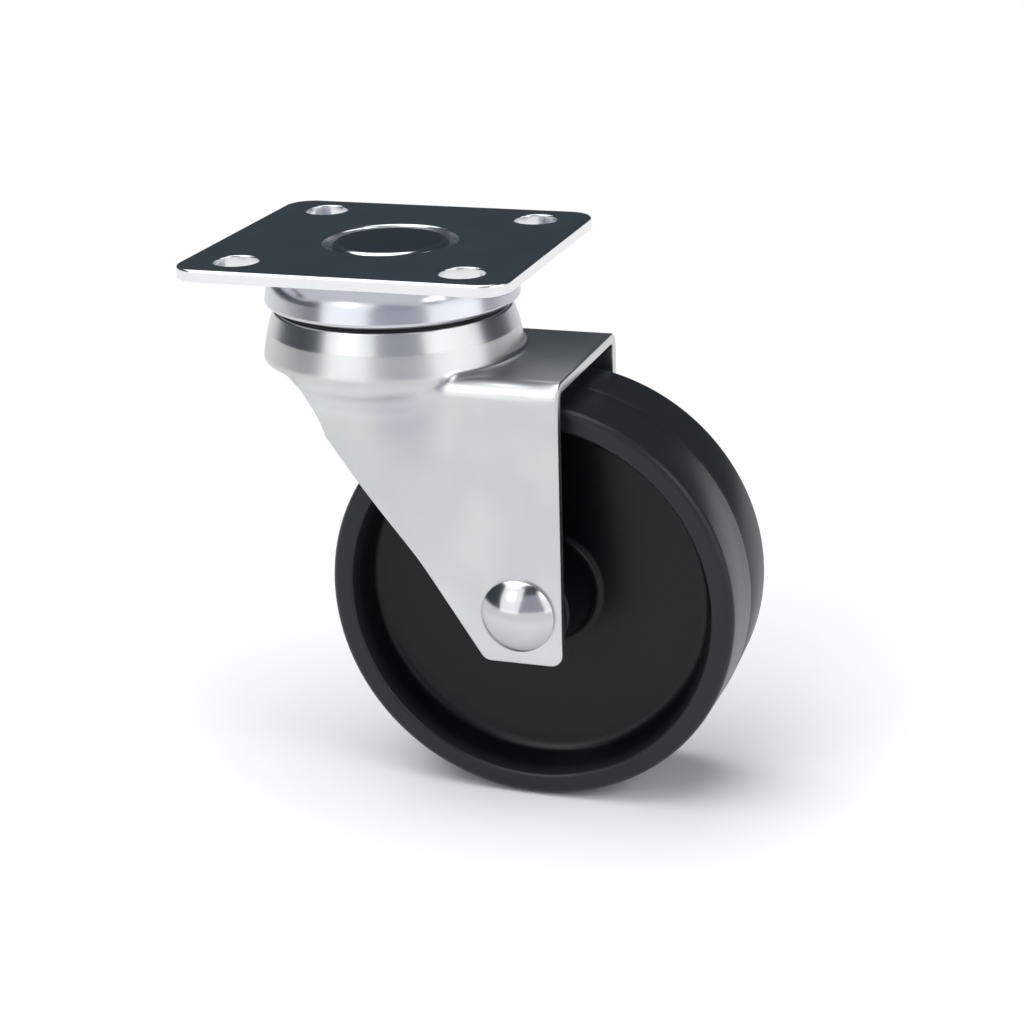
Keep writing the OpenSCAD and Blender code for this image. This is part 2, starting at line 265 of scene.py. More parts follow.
def mirrored(sheet, signs):
    """The same sheet once for each pair of signs, which x and y are multiplied by."""
    grid, wrap_rows, wrap_cols = sheet
    return [(grid * np.array(s + (1,)), wrap_rows, wrap_cols) for s in signs]


def edge_profile(r):
    """(offset, height) down the plate's edge: both of its edges are rounded, the upper one more."""
    top = np.radians(np.linspace(0, 90, 8))
    low = np.radians(np.linspace(0, 90, 5))
    r2 = UNDER_EDGE * r
    upper = np.stack([-r + r * np.sin(top), -r + r * np.cos(top)], -1)
    lower = np.stack([-r2 + r2 * np.cos(low), -PLATE_T + r2 - r2 * np.sin(low)], -1)
    return np.vstack([upper, [[0, -r - 0.05], [0, -PLATE_T + r2 + 0.05]], lower])


def corner_border(offset):
    """The border of a corner cell: the plate's edge, and back through the cell's inner corner."""
    path = corner_path(offset)
    return np.vstack([
        straight((CELL, CELL), path[0], CELL_STEPS)[:-1],
        path,
        straight(path[-1], (CELL, CELL), CELL_STEPS)[1:-1],
    ])


def middle_border():
    """The border of the middle cell: one side of a square, turned by quarter turns."""
    side = straight((CELL, -CELL), (CELL, CELL), MIDDLE_STEPS)[:-1]
    quarters = [(1, 0), (0, 1), (-1, 0), (0, -1)]
    return np.vstack([side @ np.array([[c, s], [-s, c]]) for c, s in quarters])


def seat_section():
    """(radius, height) of the pressed seat: rounded lip, bowl with the pin's hole, and boss below."""
    a = np.radians(np.linspace(0, 90, 12))
    lip = np.stack([SEAT_R + SEAT_RIM_R * (1 - np.sin(a)), -SEAT_RIM_R * (1 - np.cos(a))], -1)
    bowl = rounded([
        (SEAT_R, -SEAT_RIM_R, 0),
        (SEAT_R, -SEAT_DEPTH, 0),
        (PIN_HOLE_R, -SEAT_DEPTH, 0.1),
        (PIN_HOLE_R, BOSS_BOTTOM, 0.2),
        (BOSS_R, BOSS_BOTTOM, 1.0),
        (BOSS_R, -PLATE_T, 0),
    ], closed=False)
    return np.vstack([lip, bowl[1:]])


def plate_sheets():
    """The plate is cut into nine cells: one round each hole, one round the seat, four plain ones.

    A round cell is a sheet between a circle and the cell's border, so the circle is part of the mesh.
    """
    sheets = []
    hole_at = np.array([BOLT_AT, BOLT_AT])
    from_hole = corner_border(-PLATE_EDGE_R) - hole_at
    from_hole /= np.linalg.norm(from_hole, axis=1)[:, None]
    square = middle_border()
    around = square / np.linalg.norm(square, axis=1)[:, None]
    for offset, z, seat_r, hole_r in (
        (-PLATE_EDGE_R, 0.0, SEAT_R + SEAT_RIM_R, BOLT_R + HOLE_EDGE_R),
        (-UNDER_EDGE * PLATE_EDGE_R, -PLATE_T, BOSS_R, BOLT_R + UNDER_EDGE * HOLE_EDGE_R),
    ):
        holed = between(hole_at + from_hole * hole_r, corner_border(offset), z)
        sheets += mirrored((holed, False, True), CORNERS)
        end, side = side_paths(offset)
        plain_end = between(straight((CELL, -CELL), (CELL, CELL), MIDDLE_STEPS), end, z, CELL_STEPS)
        plain_side = between(straight((-CELL, CELL), (CELL, CELL), MIDDLE_STEPS), side, z, CELL_STEPS)
        sheets += mirrored((plain_end, False, False), ENDS)
        sheets += mirrored((plain_side, False, False), SIDES)
        sheets.append((between(around * seat_r, square, z), False, True))
    edge = edge_profile(PLATE_EDGE_R)
    corner_wall = np.stack([flat(corner_path(o), z) for o, z in edge])
    end_wall = np.stack([flat(side_paths(o)[0], z) for o, z in edge])
    side_wall = np.stack([flat(side_paths(o)[1], z) for o, z in edge])
    sheets += mirrored((corner_wall, False, False), CORNERS)
    sheets += mirrored((end_wall, False, False), ENDS)
    sheets += mirrored((side_wall, False, False), SIDES)
    hole = np.stack([flat(hole_at + from_hole * (BOLT_R - o), z) for o, z in edge_profile(HOLE_EDGE_R)])
    sheets += mirrored((hole, False, True), CORNERS)
    seat = np.stack([flat(around * r, z) for r, z in seat_section()])
    sheets.append((seat, False, True))
    return sheets


# ---------------------------------------------------------------- fork
WAIST_Z = -17.0  # down to here every line of the grid stays on the turned crown

# Degrees round the waist, from the front at 180 to the rear at 0, at which the lines start that end at
# the side outline's front end, at the toe, at the heel, and at the start and end of the rear bend.
FRONT_ANGLE = 126.9
OPEN_ANGLES = (95.0, 86.0, 58.0, 46.0)
SKIRT_POINTS, BEND_POINTS, BRIDGE_POINTS = 34, 15, 31
OUTLINE_FRONT, OUTLINE_STEP = -14.0, 1.2  # the side outline is used behind this x, in steps up to this
TOE_X, TOE_Z, HEEL_X = AXLE_X - 9, FOOT_Z + 1.2, FORK_REAR - 1.5  # where on it toe and heel begin

RINGS, RING_GROWTH = 46, 2.0  # points on a line below the waist, and how much wider their steps get
CUT_R = 0.3
HOLE_MARGIN = 1.2  # the grid is opened this far round the axle's hole
INSIDE_Y, EDGE_REACH, FACE_REACH, HALVINGS = 8, 20, 7, 40  # how the outer face is searched for

BEND_Y, BEND_Z = HALF_FORK - BEND_R, BRIDGE_Z - BEND_R
BEND_RUN = BEND_R * np.pi / 2

CHANNEL_FRONT, FRONT_MELT = -11, 2.0  # where the channel ends at the front, and how softly
CROWN_MELT, LEG_MELT = 1.2, 3.0  # width of the melt of crown and channel, and what it gains by the legs
MELT_Z, MELT_FALL = -20.5, 4  # where it starts to widen, and over what fall

# The turned crown's side, (radius, height, rounding). Under the bridge it draws in behind the legs' faces.
CROWN_SIDE = rounded([
    (NECK_R, NECK_SHOULDER, 0),
    CREASE + (3,),
    (SKIRT_R, BRIDGE_Z, 3),
    (SKIRT_R, BRIDGE_Z - 2, 4),
    (HALF_FORK - 0.3, BRIDGE_Z - 7.8, 5),
    (HALF_FORK - 0.3, -90, 0),
], closed=False, step=1.5)

# The sheet's edge seen from the side, (x, z, rounding): skirt, notch, leg's front, toe, heel and rear.
SIDE_OUTLINE = [
    (-SKIRT_R - 2, SKIRT_EDGE, 0),
    (-12.8, SKIRT_EDGE, 3),
    (-7.6, SKIRT_EDGE - 5, 2.5),
    (-7.2, SKIRT_EDGE - 10, 6),
    (9.4, AXLE_Z + 9.3, 60),
    (AXLE_X - 6.4, FOOT_Z, 2.2),
    (FORK_REAR, FOOT_Z, 2.2),
    (FORK_REAR, BEND_Z, 0),
]


def smooth_min(a, b, width):
    """The lower of two distances, rounded off where they differ by less than the width."""
    h = np.clip(0.5 + 0.5 * (b - a) / width, 0, 1)
    return b + (a - b) * h - width * h * (1 - h)


def fork_distance(p):
    """Distance to the fork's outer face: a turned crown and a bent channel, melted together."""
    x, y, z = p[..., 0], np.abs(p[..., 1]), p[..., 2]
    crown = np.hypot(x, y) - np.interp(-z, -CROWN_SIDE[:, 1], CROWN_SIDE[:, 0])
    u, v = y - BEND_Y, z - BEND_Z
    channel = np.hypot(np.maximum(u, 0), np.maximum(v, 0)) + np.minimum(np.maximum(u, v), 0) - BEND_R
    channel = -smooth_min(-channel, x - CHANNEL_FRONT, FRONT_MELT)
    width = CROWN_MELT + LEG_MELT * np.clip((MELT_Z - z) / MELT_FALL, 0, 1)
    return smooth_min(crown, channel, width)


def fork_normal(p):
    """Direction in which that distance grows fastest."""
    h = 1e-3
    steps = np.eye(3) * h
    g = np.stack([fork_distance(p + s) - fork_distance(p - s) for s in steps], -1)
    return g / np.linalg.norm(g, axis=-1)[..., None]


def channel_point(across):
    """(y, z, direction y, direction z) of the bare channel at a distance across its sheet from the middle."""
    a = np.pi / 2 - np.clip((across - BEND_Y) / BEND_R, 0, np.pi / 2)
    y = np.minimum(across, BEND_Y) + BEND_R * np.cos(a)
    z = BEND_Z + BEND_R * np.sin(a) - np.maximum(across - BEND_Y - BEND_RUN, 0)
    return y, z, np.cos(a), np.sin(a)


def across_of(y, z):
    """The distance across the channel's sheet of a point on or over it."""
    a = np.clip(np.arctan2(z - BEND_Z, y - BEND_Y), 0, np.pi / 2)
    bend = BEND_Y + (np.pi / 2 - a) * BEND_R
    leg = BEND_Y + BEND_RUN + np.maximum(BEND_Z - z, 0)
    return np.where(y < BEND_Y, y, np.where(z < BEND_Z, leg, bend))


def where_zero(start, way, far):
    """First point on a line out of the sheet where the distance is nought, found by halving."""
    lo, hi = np.zeros(start.shape[:-1]), np.full(start.shape[:-1], float(far))
    for _ in range(HALVINGS):
        mid = (lo + hi) / 2
        inside = fork_distance(start + way * mid[..., None]) < 0
        lo, hi = np.where(inside, mid, lo), np.where(inside, hi, mid)
    return start + way * hi[..., None]


def half_of_edge():
    """Half of the sheet's edge from front to rear, one value for each line of the grid that ends there.

    Gives the line's angle at the waist, and the end's distances along X and across the channel's sheet.
    The first lines end on the skirt and don't use those two; their number is given last.
    """
    path = filled_in(rounded(SIDE_OUTLINE, closed=False), OUTLINE_STEP)
    run = np.diff(path, axis=0, append=path[-1:] + [[0, 1]])
    run = run / np.linalg.norm(run, axis=1)[:, None]
    inward = np.stack([-run[:, 1], run[:, 0]], -1)
    x, z = ((path + CUT_R * inward)[path[:, 0] > OUTLINE_FRONT]).T
    length = np.r_[0, np.cumsum(np.hypot(np.diff(x), np.diff(z)))]
    toe = length[np.argmax((x > TOE_X) & (z < TOE_Z))]
    heel = length[np.argmax(x > HEEL_X)]
    start = np.stack([x, INSIDE_Y + 0 * x, z], -1)
    y = where_zero(start, np.array([0.0, 1.0, 0.0]), EDGE_REACH)[:, 1]
    front = np.linspace(180, FRONT_ANGLE, SKIRT_POINTS)[:-1]
    bend = np.linspace(BEND_Y + BEND_RUN, BEND_Y, BEND_POINTS)[1:]
    bridge = np.linspace(BEND_Y, 0, BRIDGE_POINTS)[1:]
    angle = np.r_[
        front,
        np.interp(length, [0, toe, heel, length[-1]], (FRONT_ANGLE,) + OPEN_ANGLES[:3]),
        np.linspace(OPEN_ANGLES[2], OPEN_ANGLES[3], BEND_POINTS)[1:],
        np.linspace(OPEN_ANGLES[3], 0, BRIDGE_POINTS)[1:],
    ]
    along = np.r_[0 * front, x, np.full(len(bend) + len(bridge), FORK_REAR - CUT_R)]
    across = np.r_[0 * front, across_of(y, z), bend, bridge]
    return angle, along, across, len(front)


def outer_face():
    """The outer face below the waist as rows of points, one row for each line, all the way round.

    A point is the one where a line out of the bare channel's sheet meets the melted form. On the skirt
    it lies on the turned crown. Gives each row's angle at the waist too.
    """
    angle, along, across, skirt = half_of_edge()
    waist_r = np.interp(-WAIST_Z, -CROWN_SIDE[:, 1], CROWN_SIDE[:, 0])
    s = (np.exp(RING_GROWTH * np.linspace(0, 1, RINGS)) - 1) / (np.exp(RING_GROWTH) - 1)
    a = np.radians(angle)
    waist_x, waist_y = waist_r * np.cos(a), waist_r * np.sin(a)
    x = waist_x[:, None] + (along - waist_x)[:, None] * s
    waist_across = across_of(waist_y, WAIST_Z)
    y, z, way_y, way_z = channel_point(waist_across[:, None] + (across - waist_across)[:, None] * s)
    outer = where_zero(np.stack([x, y, z], -1), np.stack([0 * x, way_y, way_z], -1), FACE_REACH)
    fall = WAIST_Z + s * (SKIRT_EDGE + CUT_R - WAIST_Z)
    skirt_section = np.stack([np.interp(-fall, -CROWN_SIDE[:, 1], CROWN_SIDE[:, 0]), fall], -1)
    outer[:skirt] = round_axis(skirt_section, a[:skirt])
    outer[[0, -1], :, 1] = 0
    normal = fork_normal(outer)
    mirror = np.array([1, -1, 1])
    outer = np.concatenate([outer, outer[-2:0:-1] * mirror])
    normal = np.concatenate([normal, normal[-2:0:-1] * mirror])
    return np.r_[a, -a[-2:0:-1]], outer, normal


def round_axis(section, angle):
    """A section of (radius, height) points at each of some angles round the swivel axis."""
    r, z = section[None, :, 0], section[None, :, 1]
    angle = angle[:, None]
    return np.stack([r * np.cos(angle), r * np.sin(angle), z + 0 * angle], -1)


def cut_edge(outer, normal):
    """The sheet's rounded cut edge, from the last points of the outer face to those of the inner one."""
    edge, up = outer[:, -1], normal[:, -1]
    run = np.roll(edge, -1, 0) - np.roll(edge, 1, 0)
    out = np.cross(run, up)
    out /= np.linalg.norm(out, axis=1)[:, None]
    out *= np.sign(np.sum(out * (edge - outer[:, -4]), 1))[:, None]
    turn = np.radians(np.linspace(0, 90, 5))[None, :, None]
    edge, up, out = edge[:, None], up[:, None], out[:, None]
    first = edge - CUT_R * up + CUT_R * (up * np.cos(turn) + out * np.sin(turn))
    last = edge - (SHEET - CUT_R) * up + CUT_R * (out * np.cos(turn) - up * np.sin(turn))
    return np.concatenate([first[:, 1:], last[:, :-1]], 1)


def crown_outside(waist):
    """(radius, height) down the crown's outer face: bore, ball groove, dome, shoulder, crease and waist."""
    return rounded(
        [(CROWN_BORE_R, CROWN_TOP - SHEET / 2, 0), (CROWN_BORE_R, CROWN_TOP, 0.2)]
        + with_radius(groove(UPPER_ROW_R, UPPER_BALL_Z, CROWN_TOP, -1))
        + [(DOME_R, CROWN_TOP, 1), (DOME_R, NECK_SHOULDER, 0.5), (NECK_R, NECK_SHOULDER, 0.8)]
        + [CREASE + (3,), waist + (0,)],
        closed=False, step=10)


def crown_inside(waist):
    """(radius, height) up the crown's inner face, from the waist to the bore."""
    return rounded(
        [waist + (0,), (CREASE[0] - SHEET, -15.5, 2), (NECK_R - SHEET, NECK_SHOULDER - 2.2, 0.8)]
        + [(DOME_R - SHEET, NECK_SHOULDER - 1.4, 0.8), (DOME_R - SHEET, CROWN_UNDER, 0.6)]
        + with_radius(groove(LOWER_ROW_R, LOWER_BALL_Z, CROWN_UNDER, 1)[::-1])
        + [(CROWN_BORE_R, CROWN_UNDER, 0.2), (CROWN_BORE_R, CROWN_TOP - SHEET / 2, 0)],
        closed=False, step=12)


def fork_grid():
    """The fork's skin as one closed grid, with the first column of the outer face and its last twin.

    Each line of the grid starts at the crown's bore and runs down the turned crown to its waist. From
    there it crosses the skirt, or the bridge or leg, to the sheet's cut edge, rounds the edge, and comes
    back inside, one sheet thickness from where it went.
    """
    angle, outer, normal = outer_face()
    inner = outer - SHEET * normal
    rim = cut_edge(outer, normal)
    outside = crown_outside((-outer[0, 0, 0], WAIST_Z))
    inside = crown_inside((-inner[0, 0, 0], inner[0, 0, 2]))
    lines = [round_axis(outside[:-1], angle), outer, rim, inner[:, :0:-1], round_axis(inside, angle)]
    first = lines[0].shape[1]
    last = first + RINGS + rim.shape[1] + RINGS - 1
    return np.concatenate(lines, 1), first, last


def axle_hole(grid, first, last, side):
    """The axle's hole through one leg: a mask of the grid's points that it takes, and its own sheet.

    The sheet runs from the border of the opened block in to a circle, through the leg, and out again to
    the same border inside. Column j of the grid's outer face has its inner twin at column last - j.
    """
    away = np.hypot(grid[..., 0] - AXLE_X, grid[..., 2] - AXLE_Z)
    near = (away < AXLE_HOLE_R + HOLE_MARGIN) & (side * grid[..., 1] > HALF_FORK - SHEET / 4)
    near[:, :first] = False
    near[:, first + RINGS:] = False
    rows, cols = np.where(near)
    i0, i1, j0, j1 = rows.min() - 1, rows.max() + 1, cols.min() - 1, cols.max() + 1
    i, j = np.arange(i0, i1 + 1), np.arange(j0, j1 + 1)
    row = np.r_[i[:1].repeat(len(j) - 1), i[:-1], i[-1:].repeat(len(j) - 1), i[:0:-1]]
    col = np.r_[j[:-1], j[-1:].repeat(len(i) - 1), j[:0:-1], j[:1].repeat(len(i) - 1)]
    border, twin = grid[row, col], grid[row, last - (col - first)]
    centre = np.array([AXLE_X, 0, AXLE_Z])
    flatten = np.array([1, 0, 1])
    way = (border - centre) * flatten
    way /= np.linalg.norm(way, axis=1)[:, None]
    mouth = centre * flatten + way * AXLE_HOLE_R + border * [0, 1, 0]
    foot = centre * flatten + way * AXLE_HOLE_R + twin * [0, 1, 0]
    mask = np.zeros(grid.shape[:2], bool)
    mask[i0:i1 + 1, j0:j1 + 1] = True
    mask[i0:i1 + 1, last - (j1 - first):last - (j0 - first) + 1] = True
    walls = np.stack([border, (border + 2 * mouth) / 3, mouth, foot, (twin + 2 * foot) / 3, twin])
    return mask, (walls, False, True)


def fork_sheets():
    """The fork's skin, opened round the axle's holes, and the sheets of the holes."""
    grid, first, last = fork_grid()
    near, near_wall = axle_hole(grid, first, last, -1)
    far, far_wall = axle_hole(grid, first, last, 1)
    return [(grid, True, True, near, far), near_wall, far_wall]


# ---------------------------------------------------------------- sections of the turned pieces
def pin_section():
    """The kingpin's section from axis to axis: broad flat head, shank, tenon and riveted foot."""
    return rounded([
        (0, PIN_HEAD_TOP, 0),
        (PIN_HEAD_R, PIN_HEAD_TOP, 1.2),
        (PIN_HEAD_R, -SEAT_DEPTH, 0.1),
        (PIN_R, -SEAT_DEPTH, 0.1),
        (PIN_R, LOWER_RACE_TOP, 0.1),
        (PIN_TENON_R, LOWER_RACE_TOP, 0.1),
        (PIN_TENON_R, LOWER_RACE_BOTTOM, 0.1),
        (PIN_FOOT_R, LOWER_RACE_BOTTOM, 0.4),
        (PIN_FOOT_R - 1.6, LOWER_RACE_BOTTOM - PIN_FOOT_H, 1.0),
        (0, LOWER_RACE_BOTTOM - PIN_FOOT_H, 0),
    ], closed=False)


def cup_section():
    """The cup's section: a flat groove ring, and a skirt that flares to a hemmed edge, turned in below."""
    step_r = BOSS_R + 0.15
    return rounded(
        [(PIN_HOLE_R, BOSS_BOTTOM, 0.1), (step_r, BOSS_BOTTOM, 0.1), (step_r, -PLATE_T, 0.1)]
        + [(CUP_R - CUP_LEAN, -PLATE_T, CUP_SHOULDER_R), (CUP_R, CUP_RIM, HEM_R)]
        + [(CUP_R - 0.85, CUP_RIM, 0.25), (CUP_R - CUP_T - 0.1, CUP_RIM + 1.3, 0.3)]
        + [(CUP_R - CUP_LEAN - CUP_T, CUP_FACE, 1.4)]
        + with_radius(groove(UPPER_ROW_R, UPPER_BALL_Z, CUP_FACE, 1)[::-1])
        + [(step_r + CUP_T, CUP_FACE, 0.3), (step_r + CUP_T, BOSS_BOTTOM - CUP_T, 1.2)]
        + [(PIN_HOLE_R, BOSS_BOTTOM - CUP_T, 0.1)],
        step=5)


def rivet_section():
    """The rivet's section from axis to axis: domed head on a thin rim, shank, and closed head."""
    dome_h = RIVET_HEAD_H - RIVET_RIM
    dome_r = (RIVET_HEAD_R ** 2 + dome_h ** 2) / (2 * dome_h)
    end = np.arcsin(RIVET_HEAD_R / dome_r)
    a = np.linspace(0, end * 0.97, 28)
    dome = np.stack([dome_r * np.sin(a), -HALF_FORK - RIVET_HEAD_H + dome_r * (1 - np.cos(a))], -1)
    rest = rounded([
        tuple(dome[-1]) + (0,),
        (RIVET_HEAD_R, -HALF_FORK - RIVET_RIM, 0.3),
        (RIVET_HEAD_R, -HALF_FORK, 0.08),
        (RIVET_R, -HALF_FORK, 0.05),
        (RIVET_R, HALF_FORK, 0.05),
        (RIVET_TAIL_R, HALF_FORK, 0.3),
        (RIVET_TAIL_R - 0.6, HALF_FORK + RIVET_TAIL_H, 1.2),
        (0, HALF_FORK + RIVET_TAIL_H, 0),
    ], closed=False)
    return np.vstack([dome, rest[1:]])


def wheel_section():
    """The wheel's section, one half and its mirror image: bore, hub, web, recess, rim, tread and seam."""
    half = rounded([
        (HUB_BORE_R, 0, 0),
        (HUB_BORE_R, HUB_END, 0.3),
        (HUB_END_R, HUB_END, 0.6),
        (HUB_ROOT_R, WEB_OUT - WEB_FALL, 1.6),
        (RIM_IN_R - RECESS_LEAN, WEB_OUT, RECESS_FILLET),
        (RIM_IN_R, WHEEL_HALF_W, 0.7),
        (WHEEL_R - TREAD_CROWN, WHEEL_HALF_W, SHOULDER_R),
        (WHEEL_R - 0.02, 0.5, 0),
    ], closed=False, step=6)
    y = np.array([0.32, 0.2, 0.1, 0.0])
    seam = np.stack([WHEEL_R - SEAM_H + SEAM_H * np.clip(1 - (y / SEAM_HALF_W) ** 2, 0, 1), y], -1)
    half = np.vstack([half, seam])
    other = half[::-1] * [1, -1]
    return np.vstack([half, other[1:-1]])


# ---------------------------------------------------------------- pieces
plate = piece("plate_pressing", plate_sheets(), "mount_plate", ["top_plate"])
pin = piece("kingpin_rivet", [turned(pin_section(), closed=False)], "mount_plate", ["kingpin"])
cup = piece("race_cup_pressing", [turned(cup_section())], "mount_plate", ["upper_race_cup"])
fork = piece("fork_pressing", fork_sheets(), "swivel_fork", ["fork"])
rivet = piece("axle_rivet_headed", [turned_on_axle(rivet_section(), closed=False, count=160)],
              "swivel_fork", ["axle_rivet"])
wheel = piece("wheel_moulding", [turned_on_axle(wheel_section())], "rolling_wheel", ["wheel"])
REPLACED = ("top_plate", "kingpin", "upper_race_cup", "fork", "axle_rivet", "wheel")


# ---------------------------------------------------------------- finishes
class Value:
    """A number that changes over a surface: Python's operators on it add Math nodes."""

    def __init__(self, finish, socket):
        self.finish, self.socket = finish, socket

    def _math(self, operation, *values):
        return self.finish.node("ShaderNodeMath", {"operation": operation}, dict(enumerate(values)))

    def __add__(self, other):
        return self._math("ADD", self, other)

    def __radd__(self, other):
        return self._math("ADD", other, self)

    def __sub__(self, other):
        return self._math("SUBTRACT", self, other)

    def __rsub__(self, other):
        return self._math("SUBTRACT", other, self)

    def __mul__(self, other):
        return self._math("MULTIPLY", self, other)

    def __rmul__(self, other):
        return self._math("MULTIPLY", other, self)

    def __pow__(self, other):
        return self._math("POWER", self, other)

    def __rpow__(self, other):
        return self._math("POWER", other, self)

    def within(self, lo, hi):
        """0 below lo, 1 above hi and smooth between."""
        return self.finish.node(
            "ShaderNodeMapRange", {"interpolation_type": "SMOOTHSTEP"},
            {"Value": self, "From Min": lo, "From Max": hi})


class Finish:
    """A node material with one Principled shader."""

    def __init__(self, name, **constants):
        self.material = bpy.data.materials.new(name)
        self.material.use_nodes = True
        self.tree = self.material.node_tree
        self.shader = self.tree.nodes["Principled BSDF"]
        for key, value in constants.items():
            self.shader.inputs[key.replace("_", " ")].default_value = value
        self.place = self.node("ShaderNodeTexCoord", {}, {}, "Object")

    def node(self, kind, settings, inputs, output=0):
        """Adds a node, sets it up, joins its inputs and gives one of its outputs."""
        made = self.tree.nodes.new(kind)
        for key, value in settings.items():
            setattr(made, key, value)
        for key, value in inputs.items():
            if isinstance(value, Value):
                self.tree.links.new(value.socket, made.inputs[key])
            else:
                made.inputs[key].default_value = value
        return Value(self, made.outputs[output])

    def parts(self):
        """The x, y and z of a point on the piece, in metres."""
        split = self.node("ShaderNodeSeparateXYZ", {}, {0: self.place})
        outputs = split.socket.node.outputs
        return [Value(self, outputs[i]) for i in range(3)]

    def noise(self, scale, detail, stretch=(1, 1, 1)):
        """Noise whose grains are about 1 / scale metres wide, longer where stretch is low."""
        moved = self.node("ShaderNodeMapping", {}, {"Vector": self.place, "Scale": stretch})
        return self.node("ShaderNodeTexNoise", {}, {"Vector": moved, "Scale": scale, "Detail": detail})

    def blend(self, amount, *colours):
        """A colour between two, by an amount from 0 to 1. Each is plain or changes over the surface."""
        a, b = (c if isinstance(c, Value) else c + (1,) for c in colours)
        return self.node("ShaderNodeMix", {"data_type": "RGBA"}, {0: amount, 6: a, 7: b}, 2)

    def bump(self, height, depth):
        """Bumps of a depth in metres."""
        made = self.node("ShaderNodeBump", {}, {"Strength": 1.0, "Distance": depth, "Height": height})
        self.feed("Normal", made)

    def over(self, amount):
        """Plain white light in place of the shader, by an amount."""
        white = self.node("ShaderNodeEmission", {}, {"Strength": 1.0})
        own = Value(self, self.shader.outputs[0])
        mixed = self.node("ShaderNodeMixShader", {}, {0: amount, 1: own, 2: white})
        self.tree.links.new(mixed.socket, self.tree.nodes["Material Output"].inputs["Surface"])

    def feed(self, name, value):
        """Joins a value to one of the shader's inputs."""
        self.tree.links.new(value.socket, self.shader.inputs[name])

    def on(self, obj):
        """Gives the finish to a piece, as its only one."""
        obj.data.materials.clear()
        obj.data.materials.append(self.material)


PURPLE = (0.72, 0.68, 0.86)
# Centre, in mm, of a spot of painted shade on each leg of the fork.
PAINTED_SHADE_X, PAINTED_SHADE_Z = 8.5, -27
GRAIN_M = 0.5e-6


def zinc(name, dark, light, rough, purple=0.0):
    """Zinc-plated steel: a faintly clouded plating, blue to purple in places."""
    f = Finish(name, Metallic=1.0)
    cloud = f.noise(140, 4)
    tone = f.blend(cloud, dark, light)
    if purple:
        patch = f.noise(45, 2).within(0.5, 0.66) * purple
        tone = f.blend(patch, tone, tuple(c * k for c, k in zip(light, PURPLE)))
    f.feed("Base Color", tone)
    f.feed("Roughness", rough + 0.06 * (cloud - 0.5))
    return f


def plate_zinc():
    """The plate's plating: clouded, with painted shade that makes the top face darker than the bright edges
    and underside.
    """
    f = Finish("plate_zinc", Metallic=1.0)
    # Painted shade: the top face gets a darker tone than the edges and underside of the same plating.
    top = f.parts()[2].within(-0.25 * MM, -0.08 * MM)
    cloud = f.noise(90, 3)
    face = f.blend(cloud, (0.46, 0.51, 0.53), (0.53, 0.58, 0.60))
    f.feed("Base Color", f.blend(top, (0.82, 0.83, 0.85), face))
    f.feed("Roughness", 0.2 + 0.05 * (cloud - 0.5))
    return f


def pin_zinc():
    """The kingpin's plating: painted shade makes the flat of its head dark, and a painted highlight makes the
    rounded edge brighter.
    """
    f = Finish("pin_zinc", Metallic=1.0)
    x, y, _ = f.parts()
    # Painted light: the head's flat gets a dark tone and its rounded edge a brighter one, from one plating.
    edge = ((x * x + y * y) ** 0.5).within((PIN_HEAD_R - 1.4) * MM, (PIN_HEAD_R - 1.0) * MM)
    f.feed("Base Color", f.blend(edge, (0.27, 0.30, 0.31), (0.48, 0.50, 0.52)))
    f.feed("Roughness", 0.2 - 0.04 * edge)
    return f


def fork_zinc():
    """The fork's plating: clouds and upright streaks, with blue-grey patches mostly on the drawn neck.

    The neck above the crease is smoother. A blue-grey spot of painted shade lies on each leg, under the bend.
    """
    f = Finish("fork_zinc", Metallic=1.0)
    x, _, z = f.parts()
    drawn = z.within((CREASE[1] - 0.4) * MM, (CREASE[1] + 0.4) * MM)
    cloud = f.noise(70, 3)
    streak = f.noise(160, 3, (1, 1, 0.05))
    tone = f.blend(0.6 * cloud + 0.4 * streak, (0.55, 0.57, 0.57), (0.67, 0.68, 0.665))
    patch = f.noise(42, 2).within(0.42, 0.6) * (0.25 + 0.6 * drawn)
    # Painted shade: a darker blue-grey spot on each leg, blended into the patches' colour.
    from_painted_shade = ((x - PAINTED_SHADE_X * MM) ** 2 + 0.7 * (z - PAINTED_SHADE_Z * MM) ** 2) ** 0.5
    painted_shade = 1 - from_painted_shade.within(1 * MM, 9 * MM)
    patch = patch + 0.75 * painted_shade * (1 - patch)
    f.feed("Base Color", f.blend(patch, tone, (0.44, 0.45, 0.51)))
    f.feed("Roughness", 0.315 - 0.08 * drawn + 0.04 * (cloud - 0.5) + 0.03 * (streak - 0.5))
    return f


def black_plastic():
    """The wheel's plastic: black, with a fine satin grain, greyer and clouded on its rim and tread, with
    painted shade that makes everything inside the rim darker.
    """
    f = Finish("black_plastic", Metallic=0.0, Specular_IOR_Level=0.26)
    speck = f.noise(1500, 2)
    x, _, z = f.parts()
    from_axle = ((x - AXLE_X * MM) ** 2 + (z - AXLE_Z * MM) ** 2) ** 0.5
    # Painted shade: the web and hub inside the rim get a darker black than the clouded rim and tread.
    rim_over_painted_shade = from_axle.within((RIM_IN_R - 1) * MM, RIM_IN_R * MM) * (0.7 + 0.3 * f.noise(60, 3))
    f.feed("Base Color", f.blend(rim_over_painted_shade, (0.002, 0.0025, 0.003), (0.016, 0.0185, 0.022)))
    f.feed("Roughness", 0.32 + 0.08 * (speck - 0.5))
    f.bump(speck, GRAIN_M)
    return f


